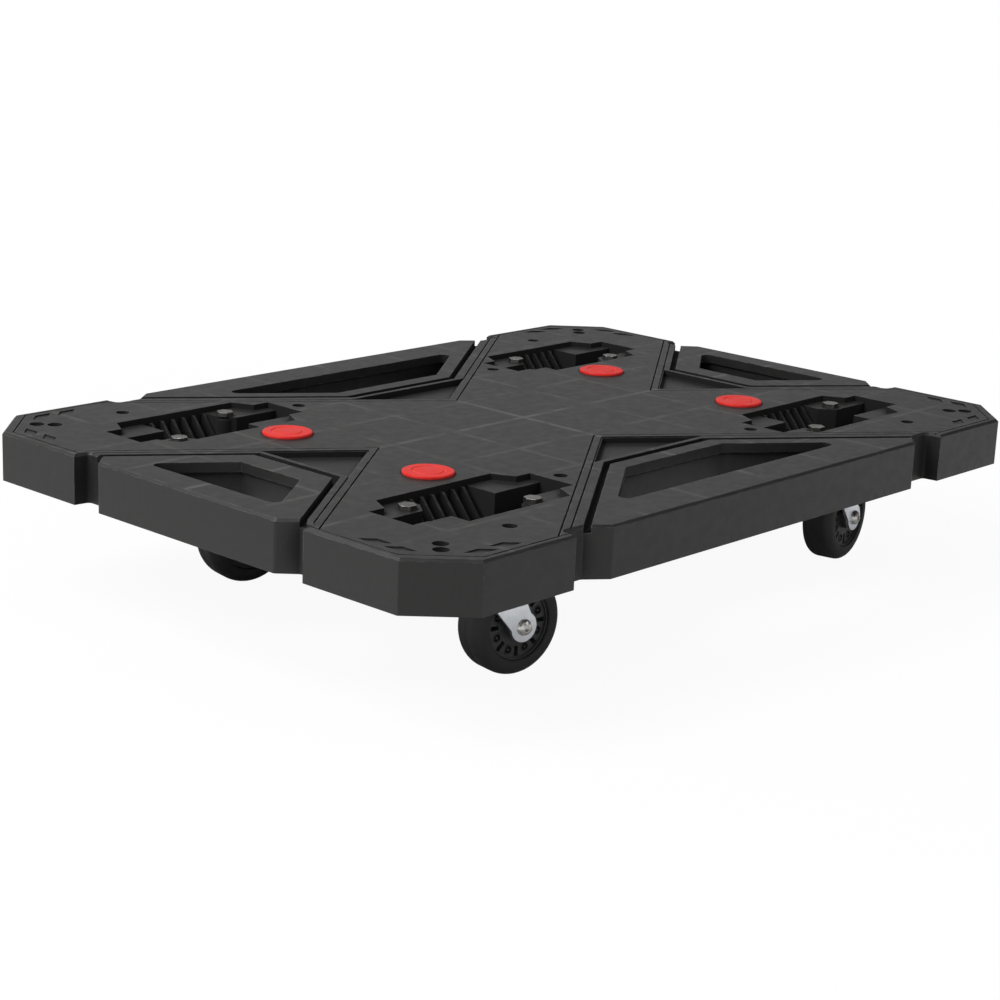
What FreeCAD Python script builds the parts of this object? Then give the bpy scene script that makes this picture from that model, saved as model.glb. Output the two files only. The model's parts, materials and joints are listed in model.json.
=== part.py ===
"""Furniture dolly: a moulded deck on four swivel casters.

Millimetres. The floor is z = 0, the origin is under the middle of the deck, +X runs along the
deck's length and +Z is up. The deck is the same in all four quarters, so one quarter is made
in its own frame, with its origin at the deck's corner on the top surface, and is mirrored.
"""

import FreeCAD, Part
import math
import os
import re

import Sketcher

Vector = FreeCAD.Vector

SIZES = {
    # Overall
    "deck_length": 600.0,
    "deck_width": 427.3,
    "deck_height": 113.5,
    "skirt_depth": 32.6,
    "skirt_wall": 3.0,
    "plate_thickness": 4.0,
    "edge_bevel": 1.6,
    # Corner lobes and the notches between lobes and handle panels
    "corner_cut": 32.5,
    "lobe_end_long": 108.8,
    "lobe_end_short": 108.4,
    "panel_start_long": 141.2,
    "panel_start_short": 132.5,
    "notch_turn_long": 127.0,
    "notch_turn_short": 121.5,
    "notch_depth": 10.8,
    "notch_rake": 1.2,
    "notch_round": 3.0,
    # Arms of the X and the handle panels
    "arm_slope": 0.72,
    "front_apex_reach": 71.2,
    "side_apex_reach": 148.5,
    "front_panel_inner": 92.5,
    "front_panel_inner_half": 51.6,
    "side_panel_inner": 87.0,
    "side_panel_inner_half": 35.9,
    "channel_side_width": 4.5,
    "channel_end_width": 6.0,
    "channel_depth": 4.8,
    "channel_wall": 2.6,
    "pit_depth": 4.6,
    "front_pit_edge": 102.0,
    "side_pit_edge": 96.5,
    "line_width": 1.1,
    "line_depth": 0.8,
    "line_spacing": 5.4,
    "lobe_line_inset": 4.2,
    "corner_line_inset": 6.6,
    # Handle openings
    "front_grip_outer": 31.0,
    "front_grip_outer_half": 119.0,
    "front_grip_inner": 81.0,
    "front_grip_inner_half": 50.0,
    "side_grip_outer": 21.0,
    "side_grip_outer_half": 61.5,
    "side_grip_inner": 69.0,
    "side_grip_inner_half": 27.0,
    "grip_lip_depth": 6.5,
    "grip_lip_width": 2.0,
    "grip_wall": 2.6,
    "grip_wall_depth": 27.0,
    "grip_round": 5.0,
    # Wheel nest over each caster
    "nest_inset_u": 121.2,
    "nest_inset_v": 91.3,
    "nest_half_length": 69.5,
    "nest_end_half": 18.0,
    "nest_shoulder": 57.0,
    "nest_body_half": 49.3,
    "nest_half_width": 33.0,
    "nest_depth": 30.0,
    "nest_wall": 3.0,
    "nest_floor": 3.0,
    "ledge_depth": 4.0,
    "ledge_thickness": 3.5,
    "slot_half_width": 9.25,
    "well_half_length": 28.6,
    "bolt_ledge_edge": 25.4,
    "bolt_ledge_turn": 20.0,
    "bolt_ledge_corner": 34.0,
    "fin_thickness": 1.6,
    "fin_pitch": 9.0,
    "fin_shift": 1.0,
    "fin_count": 6,
    "fin_valley_half": 13.0,
    "fin_valley_depth": 24.0,
    # Holes and tread marks
    "hole_radius": 4.6,
    "outer_hole_u": 93.5,
    "outer_hole_v": 37.0,
    "inner_hole_u": 201.5,
    "inner_hole_v": 93.3,
    "eyelet_radius": 5.0,
    "eyelet_near": 29.4,
    "eyelet_far": 37.6,
    "tread_near": 9.5,
    "tread_far": 17.5,
    "tread_start": 34.6,
    "tread_pitch": 19.8,
    "tread_length": 12.1,
    # Underside ribs
    "rib_thickness": 2.4,
    "rib_depth": 20.0,
    "rib_pitch_u": 58.0,
    "rib_pitch_v": 52.0,
    # Grip pads
    "pad_inset_u": 140.9,
    "pad_inset_v": 149.0,
    "pad_radius": 16.5,
    "pad_height": 2.0,
    "pad_round": 0.9,
    "pad_ring_radius": 10.0,
    "pad_ring_width": 1.6,
    "pad_ring_depth": 0.5,
    "pad_peg_radius": 4.0,
    "pad_peg_length": 8.0,
    "slip_fit": 0.1,
    # Casters
    "caster_inset_u": 117.9,
    "caster_inset_v": 90.8,
    "caster_heading_1": -10.0,
    "caster_heading_2": 9.0,
    "caster_heading_3": -11.0,
    "caster_heading_4": -11.0,
    "caster_trail": 32.0,
    "wheel_radius": 32.5,
    "wheel_width": 24.0,
    "top_plate_thickness": 3.0,
    "top_plate_radius": 25.0,
    "ear_half_width": 9.0,
    "bolt_spread_u": 69.7,
    "bolt_spread_v": 36.5,
    "race_cover_radius": 23.0,
    "race_cover_wall": 2.0,
    "race_cover_drop": 3.6,
    "ball_radius": 2.4,
    "ball_circle_radius": 16.0,
    "swivel_gap": 5.0,
    "fork_sheet": 2.5,
    "fork_gap": 27.0,
    "fork_head_front": 21.0,
    "fork_head_back": 20.0,
    "fork_eye_radius": 9.5,
    "running_clearance": 0.06,
    "side_clearance": 0.4,
    "rivet_radius": 5.0,
    "rivet_head_radius": 8.5,
    "rivet_head_height": 2.2,
    "rivet_room": 1.0,
    # Axle and wheel
    "axle_radius": 3.0,
    "axle_head_radius": 5.25,
    "axle_head_height": 3.3,
    "sleeve_radius": 4.9,
    "hub_barrel_radius": 9.0,
    "hub_width": 26.0,
    "rim_radius": 22.5,
    "rim_thickness": 2.5,
    "web_thickness": 9.0,
    "web_slot_inner": 11.0,
    "web_slot_outer": 18.6,
    "web_slot_width": 3.4,
    "web_slot_depth": 3.0,
    "web_slot_count": 8,
    "tread_corner": 5.0,
    # Fasteners
    "bolt_radius": 3.0,
    "bolt_clearance": 0.3,
    "hex_half_width": 5.0,
    "hex_head_height": 3.0,
    "nut_height": 5.0,
    "washer_radius": 6.0,
    "washer_thickness": 1.6,
    "boss_radius": 6.5,
    "thread_end": 1.5,
}

doc = FreeCAD.newDocument("furniture_dolly")
sheet = doc.addObject("Spreadsheet::Sheet", "Sizes")
for row, (alias, number) in enumerate(SIZES.items(), start=1):
    sheet.set(f"A{row}", str(number))
    sheet.setAlias(f"A{row}", alias)
doc.recompute()


def formula(text):
    """Write the sheet's name before each size that a formula names."""
    return re.sub(
        r"[a-z][a-z_0-9]*",
        lambda word: "Sizes." + word.group(0) if word.group(0) in SIZES else word.group(0),
        text,
    )


def value(text):
    """A formula's number now."""
    return float(sheet.evalExpression(formula(text)))


def bind(thing, prop, text):
    thing.setExpression(prop, formula(text))


def origin_plane(body, role):
    for feature in body.Origin.OriginFeatures:
        if feature.Role == role:
            return feature
    raise ValueError(role)


def new_body(label):
    body = doc.addObject("PartDesign::Body", label)
    body.Label = label
    return body


def new_sketch(body, name, role, level):
    sketch = body.newObject("Sketcher::SketchObject", name)
    sketch.AttachmentSupport = [(origin_plane(body, role), "")]
    sketch.MapMode = "FlatFace"
    bind(sketch, "AttachmentOffset.Base.z", level)
    return sketch


def hold(sketch, rules):
    """Add constraints; each rule is (kind, geometry, point, formula or None)."""
    first = sketch.ConstraintCount
    made = []
    for kind, parts, text in rules:
        if text is None:
            made.append(Sketcher.Constraint(kind, *parts))
        else:
            made.append(Sketcher.Constraint(kind, *parts, value(text)))
    sketch.addConstraint(made)
    for index, (kind, parts, text) in enumerate(rules):
        if text is not None:
            bind(sketch, f"Constraints[{first + index}]", text)


def loop(sketch, corners):
    """A closed straight-sided outline with each corner held by a pair of formulas."""
    count = len(corners)
    places = [Vector(value(across), value(along), 0) for across, along in corners]
    first = sketch.GeometryCount
    for index in range(count):
        sketch.addGeometry(Part.LineSegment(places[index], places[(index + 1) % count]), False)
    rules = []
    for index in range(count):
        here = first + index
        rules.append(("Coincident", (here, 2, first + (index + 1) % count, 1), None))
    for index, (across, along) in enumerate(corners):
        rules.append(("DistanceX", (first + index, 1), across))
        rules.append(("DistanceY", (first + index, 1), along))
    hold(sketch, rules)


def circle(sketch, across, along, radius):
    spot = sketch.GeometryCount
    centre = Vector(value(across), value(along), 0)
    sketch.addGeometry(Part.Circle(centre, Vector(0, 0, 1), value(radius)), False)
    hold(
        sketch,
        [
            ("DistanceX", (spot, 3), across),
            ("DistanceY", (spot, 3), along),
            ("Radius", (spot,), radius),
        ],
    )


def extrude(body, kind, name, sketch, length, reverse):
    feature = body.newObject("PartDesign::" + kind, name)
    feature.Profile = sketch
    bind(feature, "Length", length)
    feature.Reversed = reverse
    sketch.Visibility = False
    return feature


def pad_down(body, name, loops, top, depth, circles=()):
    sketch = new_sketch(body, name + "_sketch", "XY_Plane", top)
    for corners in loops:
        loop(sketch, corners)
    for across, along, radius in circles:
        circle(sketch, across, along, radius)
    return extrude(body, "Pad", name, sketch, depth, True)


def cut_down(body, name, loops, top, depth, circles=()):
    sketch = new_sketch(body, name + "_sketch", "XY_Plane", top)
    for corners in loops:
        loop(sketch, corners)
    for across, along, radius in circles:
        circle(sketch, across, along, radius)
    return extrude(body, "Pocket", name, sketch, depth, False)


def revolve(body, name, corners):
    """A turned solid: each corner is (radius, height along the body's own Y axis)."""
    sketch = new_sketch(body, name + "_sketch", "XY_Plane", "0")
    loop(sketch, corners)
    feature = body.newObject("PartDesign::Revolution", name)
    feature.Profile = sketch
    feature.ReferenceAxis = (sketch, ["V_Axis"])
    feature.Angle = 360
    sketch.Visibility = False
    return feature


def revolve_up(body, name, corners):
    """A turned solid: each corner is (radius, height along the body's own Z axis)."""
    sketch = new_sketch(body, name + "_sketch", "XZ_Plane", "0")
    loop(sketch, corners)
    feature = body.newObject("PartDesign::Revolution", name)
    feature.Profile = sketch
    feature.ReferenceAxis = (sketch, ["V_Axis"])
    feature.Angle = 360
    sketch.Visibility = False
    return feature


def ease(body, kind, name, size, wanted):
    """Fillet or Chamfer the edges of the body's tip that the test wants."""
    doc.recompute()
    base = body.Tip
    names = [
        f"Edge{index + 1}" for index, edge in enumerate(base.Shape.Edges) if wanted(edge)
    ]
    if not names:
        raise ValueError(f"{name} finds no edge")
    feature = body.newObject("PartDesign::" + kind, name)
    feature.Base = (base, names)
    bind(feature, "Radius" if kind == "Fillet" else "Size", size)
    return feature


def near(first, second, slack=0.01):
    return abs(first - second) < slack


def upright_at(spots):
    """A test for upright edges that stand at one of the spots."""

    def wanted(edge):
        if len(edge.Vertexes) != 2:
            return False
        low, high = (vertex.Point for vertex in edge.Vertexes)
        if not (near(low.x, high.x) and near(low.y, high.y)):
            return False
        return any(near(low.x, spot[0]) and near(low.y, spot[1]) for spot in spots)

    return wanted


def spots(corners):
    return [(value(across), value(along)) for across, along in corners]


def swap(corners):
    """The same outline with length and width exchanged."""
    return [(along, across) for across, along in corners]


HALF_LENGTH = "deck_length / 2"
HALF_WIDTH = "deck_width / 2"
PAST = "1"


def taper(middle, outer_half, inner_half, outer, inner, side="0", end="0"):
    """Half of a tapered outline that narrows inwards, grown sideways and at both ends.

    The outline runs past the middle line of the deck, where the quarters meet.
    """
    run = f"(({outer_half}) - ({inner_half})) / (({inner}) - ({outer}))"
    grow = f"({side}) * sqrt(1 + ({run}) ^ 2)"
    low = f"({outer}) - ({end})"
    high = f"({inner}) + ({end})"
    return [
        (f"{middle} - ({outer_half}) - {grow} - {run} * ({end})", low),
        (f"{middle} + {PAST}", low),
        (f"{middle} + {PAST}", high),
        (f"{middle} - ({inner_half}) - {grow} + {run} * ({end})", high),
    ]


# The deck's quarter: skirt and top plate
quarter = new_body("deck_quarter")

OUTER = [
    ("corner_cut", "0"),
    ("lobe_end_long", "0"),
    ("lobe_end_long + notch_rake", "notch_depth"),
    ("notch_turn_long", "notch_depth"),
    ("panel_start_long", "0"),
    (HALF_LENGTH, "0"),
    (HALF_LENGTH, HALF_WIDTH),
    ("0", HALF_WIDTH),
    ("0", "panel_start_short"),
    ("notch_depth", "notch_turn_short"),
    ("notch_depth", "lobe_end_short + notch_rake"),
    ("0", "lobe_end_short"),
    ("0", "corner_cut"),
]
INNER_FRONT = [
    ("corner_cut + skirt_wall * 0.41", "skirt_wall"),
    ("lobe_end_long - skirt_wall", "skirt_wall"),
    ("lobe_end_long + notch_rake - skirt_wall", "notch_depth + skirt_wall"),
    ("notch_turn_long + skirt_wall * 0.3", "notch_depth + skirt_wall"),
    ("panel_start_long + skirt_wall * 0.3", "skirt_wall"),
    (f"{HALF_LENGTH} + {PAST}", "skirt_wall"),
]
INNER_SIDE = [
    ("skirt_wall", f"{HALF_WIDTH} + {PAST}"),
    ("skirt_wall", "panel_start_short + skirt_wall * 0.3"),
    ("notch_depth + skirt_wall", "notch_turn_short + skirt_wall * 0.3"),
    ("notch_depth + skirt_wall", "lobe_end_short + notch_rake - skirt_wall"),
    ("skirt_wall", "lobe_end_short - skirt_wall"),
    ("skirt_wall", "corner_cut + skirt_wall * 0.41"),
]
FAR_CORNER = (f"{HALF_LENGTH} + {PAST}", f"{HALF_WIDTH} + {PAST}")

pad_down(quarter, "block", [OUTER], "0", "skirt_depth")
ease(
    quarter,
    "Fillet",
    "notch_rounding",
    "notch_round",
    upright_at(spots([OUTER[2], OUTER[3], OUTER[4], OUTER[8], OUTER[9], OUTER[10]])),
)


def outer_top_edge(edge):
    """Edges of the top face along the lobe's and the panels' outer faces."""
    middle = edge.CenterOfMass
    if not near(middle.z, 0) or edge.Curve.TypeId != "Part::GeomLine":
        return False
    if not near(edge.BoundBox.ZLength, 0):
        return False
    at_corner = near(middle.x + middle.y, value("corner_cut"))
    return near(middle.x, 0) or near(middle.y, 0) or at_corner


ease(quarter, "Chamfer", "top_bevel", "edge_bevel", outer_top_edge)

hollow = new_sketch(quarter, "hollow_sketch", "XY_Plane", "-skirt_depth")
loop(hollow, INNER_FRONT + [FAR_CORNER] + INNER_SIDE)
extrude(quarter, "Pocket", "hollow", hollow, "skirt_depth - plate_thickness", True)

# Ribs under the plate, in both directions, from the skirt to the deck's middle lines
RIBS_ALONG = [f"rib_pitch_v * {count}" for count in (1, 2, 3)]
RIBS_ACROSS = [f"rib_pitch_u * {count}" for count in (1, 2, 3, 4)]
rib_loops = []
for place in RIBS_ACROSS:
    low = f"{place} - rib_thickness / 2"
    high = f"{place} + rib_thickness / 2"
    rib_loops.append(
        [
            (low, "notch_depth"),
            (high, "notch_depth"),
            (high, HALF_WIDTH),
            (low, HALF_WIDTH),
        ]
    )
pad_down(quarter, "ribs_across", rib_loops, "-plate_thickness / 2", "rib_depth")
rib_loops = []
for place in RIBS_ALONG:
    low = f"{place} - rib_thickness / 2"
    high = f"{place} + rib_thickness / 2"
    rib_loops.append(
        [
            ("notch_depth", low),
            (HALF_LENGTH, low),
            (HALF_LENGTH, high),
            ("notch_depth", high),
        ]
    )
pad_down(quarter, "ribs_along", rib_loops, "-plate_thickness / 2", "rib_depth")

# Channels round the handle panels, with the keel that closes them underneath
FRONT_RUN = "1 / arm_slope"
SIDE_RUN = "arm_slope"


def panel(axis, side, end, past):
    """A handle panel's slanted outline, grown sideways and inwards, and run out past the skirt."""
    if axis == "front":
        middle, inner, inner_half, run = (
            HALF_LENGTH,
            "front_panel_inner",
            "front_panel_inner_half",
            FRONT_RUN,
        )
    else:
        middle, inner, inner_half, run = (
            HALF_WIDTH,
            "side_panel_inner",
            "side_panel_inner_half",
            SIDE_RUN,
        )
    grow = f"({side}) * sqrt(1 + ({run}) ^ 2)"
    outer_half = f"{inner_half} + ({inner} + ({past})) * ({run}) + {grow}"
    corners = [
        (f"{middle} - ({outer_half})", f"-({past})"),
        (f"{middle} + {PAST}", f"-({past})"),
        (f"{middle} + {PAST}", f"{inner} + ({end})"),
        (f"{middle} - {inner_half} - {grow} + ({run}) * ({end})", f"{inner} + ({end})"),
    ]
    return corners if axis == "front" else swap(corners)


def ring(axis, inside_side, inside_end, outside_side, outside_end, past):
    """The band between two grown outlines of a handle panel, open at the skirt and the middle."""
    outside = panel(axis, outside_side, outside_end, past)
    inside = panel(axis, inside_side, inside_end, past)
    return [outside[0], inside[0], inside[3], inside[2], outside[2], outside[3]]


KEEL_SIDE = "channel_side_width + channel_wall"
KEEL_END = "channel_end_width + channel_wall"
KEEL_START = "-notch_depth - skirt_wall / 2"
pad_down(
    quarter,
    "keels",
    [
        ring(axis, "-channel_wall", "-channel_wall", KEEL_SIDE, KEEL_END, KEEL_START)
        for axis in ("front", "side")
    ],
    "-plate_thickness / 2",
    "channel_depth + channel_wall - plate_thickness / 2",
)

# Floors of the triangular pits between the arms
FRONT_APEX = f"{HALF_WIDTH} - front_apex_reach"
SIDE_APEX = f"{HALF_LENGTH} - side_apex_reach"


def pit(axis, grow):
    """Half of the triangle between two arms: its tip points to the middle of the deck."""
    if axis == "front":
        middle, apex, edge, run = HALF_LENGTH, FRONT_APEX, "front_pit_edge", FRONT_RUN
    else:
        middle, apex, edge, run = HALF_WIDTH, SIDE_APEX, "side_pit_edge", SIDE_RUN
    tip = f"{apex} + ({grow}) * sqrt(1 + 1 / ({run}) ^ 2)"
    base = f"{edge} - ({grow})"
    corners = [
        (f"{middle} - ({tip} - ({base})) * ({run})", base),
        (f"{middle} + {PAST}", base),
        (f"{middle} + {PAST}", f"{tip} + {PAST} / ({run})"),
    ]
    return corners if axis == "front" else swap(corners)


pad_down(
    quarter,
    "pit_floors",
    [pit(axis, "channel_wall") for axis in ("front", "side")],
    "-plate_thickness / 2",
    "pit_depth + channel_wall - plate_thickness / 2",
)

# Collars round the handle openings
FRONT_GRIP = (
    HALF_LENGTH,
    "front_grip_outer_half",
    "front_grip_inner_half",
    "front_grip_outer",
    "front_grip_inner",
)
SIDE_GRIP = (
    HALF_WIDTH,
    "side_grip_outer_half",
    "side_grip_inner_half",
    "side_grip_outer",
    "side_grip_inner",
)
COLLAR = "grip_lip_width + grip_wall"
front_collar = taper(*FRONT_GRIP, side=COLLAR, end=COLLAR)
side_collar = swap(taper(*SIDE_GRIP, side=COLLAR, end=COLLAR))
pad_down(
    quarter,
    "grip_collars",
    [front_collar, side_collar],
    "-plate_thickness / 2",
    "grip_wall_depth - plate_thickness / 2",
)

# The tub of the wheel nest


def around_nest(points, grow="0"):
    return [(f"nest_inset_u + ({across})", f"nest_inset_v + ({along})") for across, along in points]


def nest_outline(grow):
    """The nest's twelve-sided outline, grown by a wall."""
    ends = f"nest_half_length + ({grow})"
    end_half = f"nest_end_half + ({grow})"
    shoulder = f"nest_shoulder + ({grow})"
    body_half = f"nest_body_half + ({grow})"
    width = f"nest_half_width + ({grow})"
    quadrant = [(ends, end_half), (shoulder, end_half), (body_half, width)]
    points = list(quadrant)
    points += [(f"-({across})", along) for across, along in reversed(quadrant)]
    points += [(f"-({across})", f"-({along})") for across, along in quadrant]
    points += [(across, f"-({along})") for across, along in reversed(quadrant)]
    return around_nest(points)


pad_down(
    quarter,
    "nest_tub",
    [nest_outline("nest_wall")],
    "-plate_thickness / 2",
    "nest_depth - plate_thickness / 2",
)

# Cuts from above
bands = [
    ring(axis, "0", "0", "channel_side_width", "channel_end_width", "1")
    for axis in ("front", "side")
]
cut_down(quarter, "channels", bands, "0", "channel_depth")
pits = [pit(axis, "0") for axis in ("front", "side")]
cut_down(quarter, "pits", pits, "0", "pit_depth")

cut_down(quarter, "nest_recess", [nest_outline("0")], "0", "ledge_depth")

BOLT_LEDGE = [
    ("bolt_ledge_edge", "nest_half_width"),
    ("bolt_ledge_edge", "bolt_ledge_turn"),
    ("bolt_ledge_corner", "slot_half_width"),
]
half_well = [
    ("nest_half_length", "-(slot_half_width)"),
    ("nest_half_length", "slot_half_width"),
    ("well_half_length", "slot_half_width"),
    ("well_half_length", "nest_half_width"),
]
half_well += [(f"-({across})", along) for across, along in BOLT_LEDGE]
WELL = around_nest(half_well + [(f"-({across})", f"-({along})") for across, along in half_well])
cut_down(quarter, "nest_well", [WELL], "0", "nest_depth - nest_floor")

# The four ledges are hollow underneath, apart from the bosses that take the caster's bolts
LEDGE_TOP = "ledge_depth + ledge_thickness"
boss_places = []
for sign in ("", "-"):
    boss_places.append(
        (
            f"caster_inset_u {'+' if sign else '-'} bolt_spread_u / 2",
            f"caster_inset_v {'-' if sign else '+'} bolt_spread_v / 2",
        )
    )
core_loops = []
for side_u in (1, -1):
    for side_v in (1, -1):
        if side_u == side_v:
            inner = [
                ("well_half_length + nest_wall", "slot_half_width + nest_wall"),
                ("well_half_length + nest_wall", "nest_half_width"),
            ]
        else:
            inner = [
                ("bolt_ledge_corner + nest_wall", "slot_half_width + nest_wall"),
                ("bolt_ledge_edge + nest_wall", "bolt_ledge_turn + nest_wall / 2"),
                ("bolt_ledge_edge + nest_wall", "nest_half_width"),
            ]
        core = inner + [
            ("nest_body_half", "nest_half_width"),
            ("nest_shoulder - nest_wall", "slot_half_width + nest_wall"),
        ]
        core_loops.append(
            around_nest([(f"{side_u} * ({a})", f"{side_v} * ({b})") for a, b in core])
        )
cores = new_sketch(quarter, "ledge_cores_sketch", "XY_Plane", "-nest_depth")
for corners in core_loops:
    loop(cores, corners)
extrude(quarter, "Pocket", "ledge_cores", cores, f"nest_depth - ({LEDGE_TOP})", True)
pad_down(
    quarter,
    "bolt_bosses",
    [],
    f"-({LEDGE_TOP}) + ledge_thickness / 2",
    f"nest_depth - ({LEDGE_TOP}) + ledge_thickness / 2",
    circles=[(across, along, "boss_radius") for across, along in boss_places],
)

# Fins of the nest: each is a V in which the wheel of a dolly stacked on top comes to rest
FIN_TOP = "-ledge_depth"
fin_sketch = new_sketch(
    quarter,
    "fin_sketch",
    "YZ_Plane",
    "nest_inset_u + fin_shift - fin_pitch * (fin_count - 1) / 2 - fin_thickness / 2",
)
loop(
    fin_sketch,
    [
        ("nest_inset_v - nest_half_width - 0.5", FIN_TOP),
        ("nest_inset_v - nest_half_width + 2.5", FIN_TOP),
        ("nest_inset_v - fin_valley_half", "-fin_valley_depth"),
        ("nest_inset_v + fin_valley_half", "-fin_valley_depth"),
        ("nest_inset_v + nest_half_width - 2.5", FIN_TOP),
        ("nest_inset_v + nest_half_width + 0.5", FIN_TOP),
        ("nest_inset_v + nest_half_width + 0.5", "-nest_depth + nest_floor / 2"),
        ("nest_inset_v - nest_half_width - 0.5", "-nest_depth + nest_floor / 2"),
    ],
)
fin = extrude(quarter, "Pad", "fin", fin_sketch, "fin_thickness", False)
fins = quarter.newObject("PartDesign::LinearPattern", "fins")
fins.Originals = [fin]
fins.Direction = (origin_plane(quarter, "X_Axis"), [""])
bind(fins, "Length", "fin_pitch * (fin_count - 1)")
bind(fins, "Occurrences", "fin_count")
quarter.Tip = fins

# Handle openings: a lip at the top and a wider well below it
wells = new_sketch(quarter, "grip_wells_sketch", "XY_Plane", "-skirt_depth - 1")
loop(wells, taper(*FRONT_GRIP, side="grip_lip_width", end="grip_lip_width"))
loop(wells, swap(taper(*SIDE_GRIP, side="grip_lip_width", end="grip_lip_width")))
extrude(quarter, "Pocket", "grip_wells", wells, "skirt_depth + 1 - grip_lip_depth", True)
front_grip = taper(*FRONT_GRIP)
side_grip = swap(taper(*SIDE_GRIP))
cut_down(quarter, "grips", [front_grip, side_grip], "1", "skirt_depth")
ease(
    quarter,
    "Fillet",
    "grip_rounding",
    "grip_round",
    upright_at(spots([front_grip[0], side_grip[0]])),
)

# Shallow lines along the arms and round the lobes


def arm_line(axis, offset):
    """A thin parallelogram along an arm's edge, from the lobe to the deck's middle line."""
    if axis == "front":
        middle, apex, run, stop = HALF_LENGTH, FRONT_APEX, FRONT_RUN, "lobe_line_inset"
    else:
        middle, apex, run, stop = HALF_WIDTH, SIDE_APEX, SIDE_RUN, "lobe_line_inset"
    rise = f"sqrt(1 + 1 / ({run}) ^ 2)"
    low = f"{apex} + ({offset}) * {rise}"
    high = f"{apex} + ({offset} + line_width) * {rise}"
    corners = [
        (f"{middle} - ({low} - {stop}) * ({run})", stop),
        (f"{middle} + {PAST}", f"{low} + {PAST} / ({run})"),
        (f"{middle} + {PAST}", f"{high} + {PAST} / ({run})"),
        (f"{middle} - ({high} - {stop}) * ({run})", stop),
    ]
    return corners if axis == "front" else swap(corners)


arm_lines = [
    arm_line(axis, offset) for axis in ("front", "side") for offset in ("0", "line_spacing")
]
cut_down(quarter, "arm_lines", arm_lines, "0", "line_depth")

near_edge = "lobe_line_inset"
far_edge = "lobe_line_inset + line_width"
near_sum = "corner_cut + corner_line_inset * sqrt(2)"
far_sum = f"{near_sum} + line_width * sqrt(2)"
lobe_line = [
    ("lobe_end_long", near_edge),
    ("lobe_end_long", far_edge),
    (f"{far_sum} - ({far_edge})", far_edge),
    (far_edge, f"{far_sum} - ({far_edge})"),
    (far_edge, "lobe_end_short"),
    (near_edge, "lobe_end_short"),
    (near_edge, f"{near_sum} - ({near_edge})"),
    (f"{near_sum} - ({near_edge})", near_edge),
]

lobe_loops = [lobe_line]
for count in (0, 1):
    start = f"tread_start + tread_pitch * {count}"
    lean = "(tread_far - tread_near)"
    mark = [
        (start, "tread_far"),
        (f"{start} + tread_length", "tread_far"),
        (f"{start} + tread_length + {lean}", "tread_near"),
        (f"{start} + {lean}", "tread_near"),
    ]
    lobe_loops += [mark, swap(mark)]
cut_down(quarter, "lobe_marks", lobe_loops, "0", "line_depth")

# Holes: two through holes, a pair of rope eyelets, the grip pad's peg hole and the bolts' holes
cut_down(
    quarter,
    "plate_holes",
    [],
    "1",
    "skirt_depth",
    circles=[
        ("outer_hole_u", "outer_hole_v", "hole_radius"),
        ("inner_hole_u", "inner_hole_v", "hole_radius"),
        ("eyelet_near", "eyelet_near", "eyelet_radius"),
        ("eyelet_far", "eyelet_far", "eyelet_radius"),
        ("pad_inset_u", "pad_inset_v", "pad_peg_radius + slip_fit"),
    ]
    + [(across, along, "bolt_radius + bolt_clearance") for across, along in boss_places],
)

# Clearance under the nest's floor for the head of the caster's rivet
clearance = new_sketch(quarter, "rivet_clearance_sketch", "XY_Plane", "-nest_depth - 1")
circle(clearance, "caster_inset_u", "caster_inset_v", "rivet_head_radius + rivet_room")
extrude(quarter, "Pocket", "rivet_clearance", clearance, "1 + rivet_head_height + rivet_room", True)

bind(quarter, "Placement.Base.x", f"-({HALF_LENGTH})")
bind(quarter, "Placement.Base.y", f"-({HALF_WIDTH})")
bind(quarter, "Placement.Base.z", "deck_height")
doc.recompute()


def mirrored(source, normal, label):
    """The source's mirror image in a plane through the deck's middle."""
    image = doc.addObject("Part::Mirroring", label)
    image.Source = source
    image.Normal = normal
    return image


across_image = mirrored(quarter, Vector(1, 0, 0), "quarter_across")
along_image = mirrored(quarter, Vector(0, 1, 0), "quarter_along")
far_image = mirrored(across_image, Vector(0, 1, 0), "quarter_opposite")
deck = doc.addObject("Part::MultiFuse", "deck")
deck.Label = "deck"
deck.Shapes = [quarter, across_image, along_image, far_image]
deck.Refine = True
parts = {"deck": deck}

CORNERS = {1: (-1, -1), 2: (1, -1), 3: (1, 1), 4: (-1, 1)}


def keep(thing):
    parts[thing.Label] = thing
    return thing


def place(thing, across, along, up, angle=None, axis=Vector(0, 0, 1)):
    """Put a piece at three formulas, turned by a formula in degrees about an axis."""
    if angle is not None:
        turn = FreeCAD.Rotation(axis, value(angle))
        thing.Placement = FreeCAD.Placement(Vector(0, 0, 0), turn)
    bind(thing, "Placement.Base.x", across)
    bind(thing, "Placement.Base.y", along)
    bind(thing, "Placement.Base.z", up)
    if angle is not None:
        bind(thing, "Placement.Rotation.Angle", angle)


def at_corner(signs, inset_u, inset_v):
    """Formulas for a place given from the deck's corner, in one of its four quarters."""
    across, along = signs
    return (
        f"{across} * ({HALF_LENGTH} - ({inset_u}))",
        f"{along} * ({HALF_WIDTH} - ({inset_v}))",
    )


def hexagon(half_width):
    """Six corners round the origin, two flats square to the first axis."""
    corner = f"({half_width}) / cos(30)"
    return [
        (f"({corner}) * cos({60 * side + 30})", f"({corner}) * sin({60 * side + 30})")
        for side in range(6)
    ]


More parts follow.
